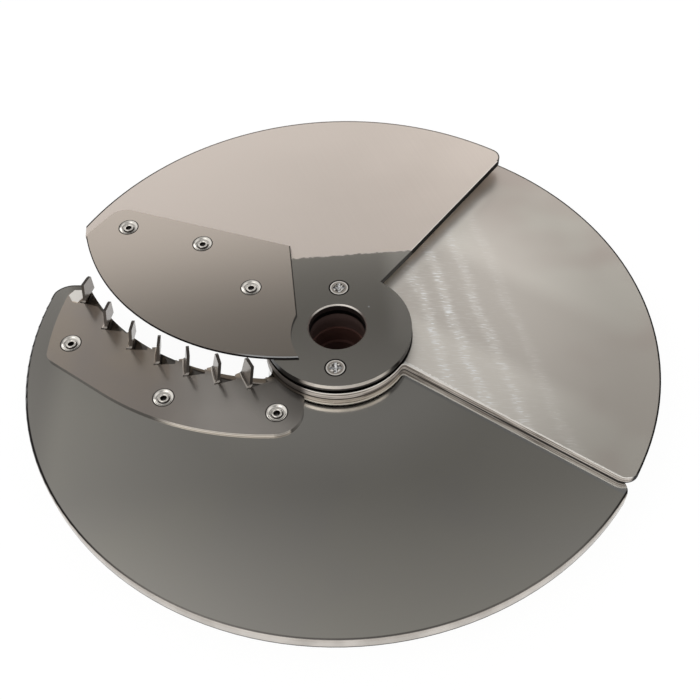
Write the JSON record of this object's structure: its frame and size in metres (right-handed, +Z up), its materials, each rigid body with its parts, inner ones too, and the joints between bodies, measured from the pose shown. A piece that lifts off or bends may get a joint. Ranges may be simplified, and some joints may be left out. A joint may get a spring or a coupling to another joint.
{
  "type": "cutting_disc",
  "caption": "Stainless steel cutting disc of a food processor, with a crescent slicing blade, a comb of folded teeth and a hub bore for the drive shaft",
  "frame": {"origin": "on the axis of the drive bore, at the lower face of the hub boss", "axes": "+Z up along the drive shaft, out of the cutting side; +X to the right and +Y away from the viewer, across the disc"},
  "size_m": [0.205, 0.205, 0.0261],
  "materials": {
    "plate_steel": "fine satin stainless sheet, polished enough to mirror its neighbours",
    "ground_steel": "stainless sheet with coarse grinding marks and short scratches",
    "blade_steel": "thin hardened stainless sheet with a smooth satin face",
    "dark_steel": "plain stainless ring in the shade between two plates",
    "boss_aluminium": "fine turned aluminium",
    "bush_plastic": "dark brown moulded plastic",
    "bright_steel": "bright nickel plated steel with raised rings"
  },
  "bodies": {
    "root": {"top_plate": "plate_steel", "middle_plate": "ground_steel", "bottom_plate": "plate_steel", "plate_spacer": "dark_steel", "slicing_blade": "blade_steel", "comb_plate": "blade_steel", "hub_boss": "boss_aluminium", "drive_bush": "bush_plastic", "hub_screw_1": "bright_steel", "hub_screw_2": "bright_steel", "blade_rivet_1": "bright_steel", "blade_rivet_2": "bright_steel", "blade_rivet_3": "bright_steel", "comb_rivet_1": "bright_steel", "comb_rivet_2": "bright_steel", "comb_rivet_3": "bright_steel"}
  },
  "joints": []
}
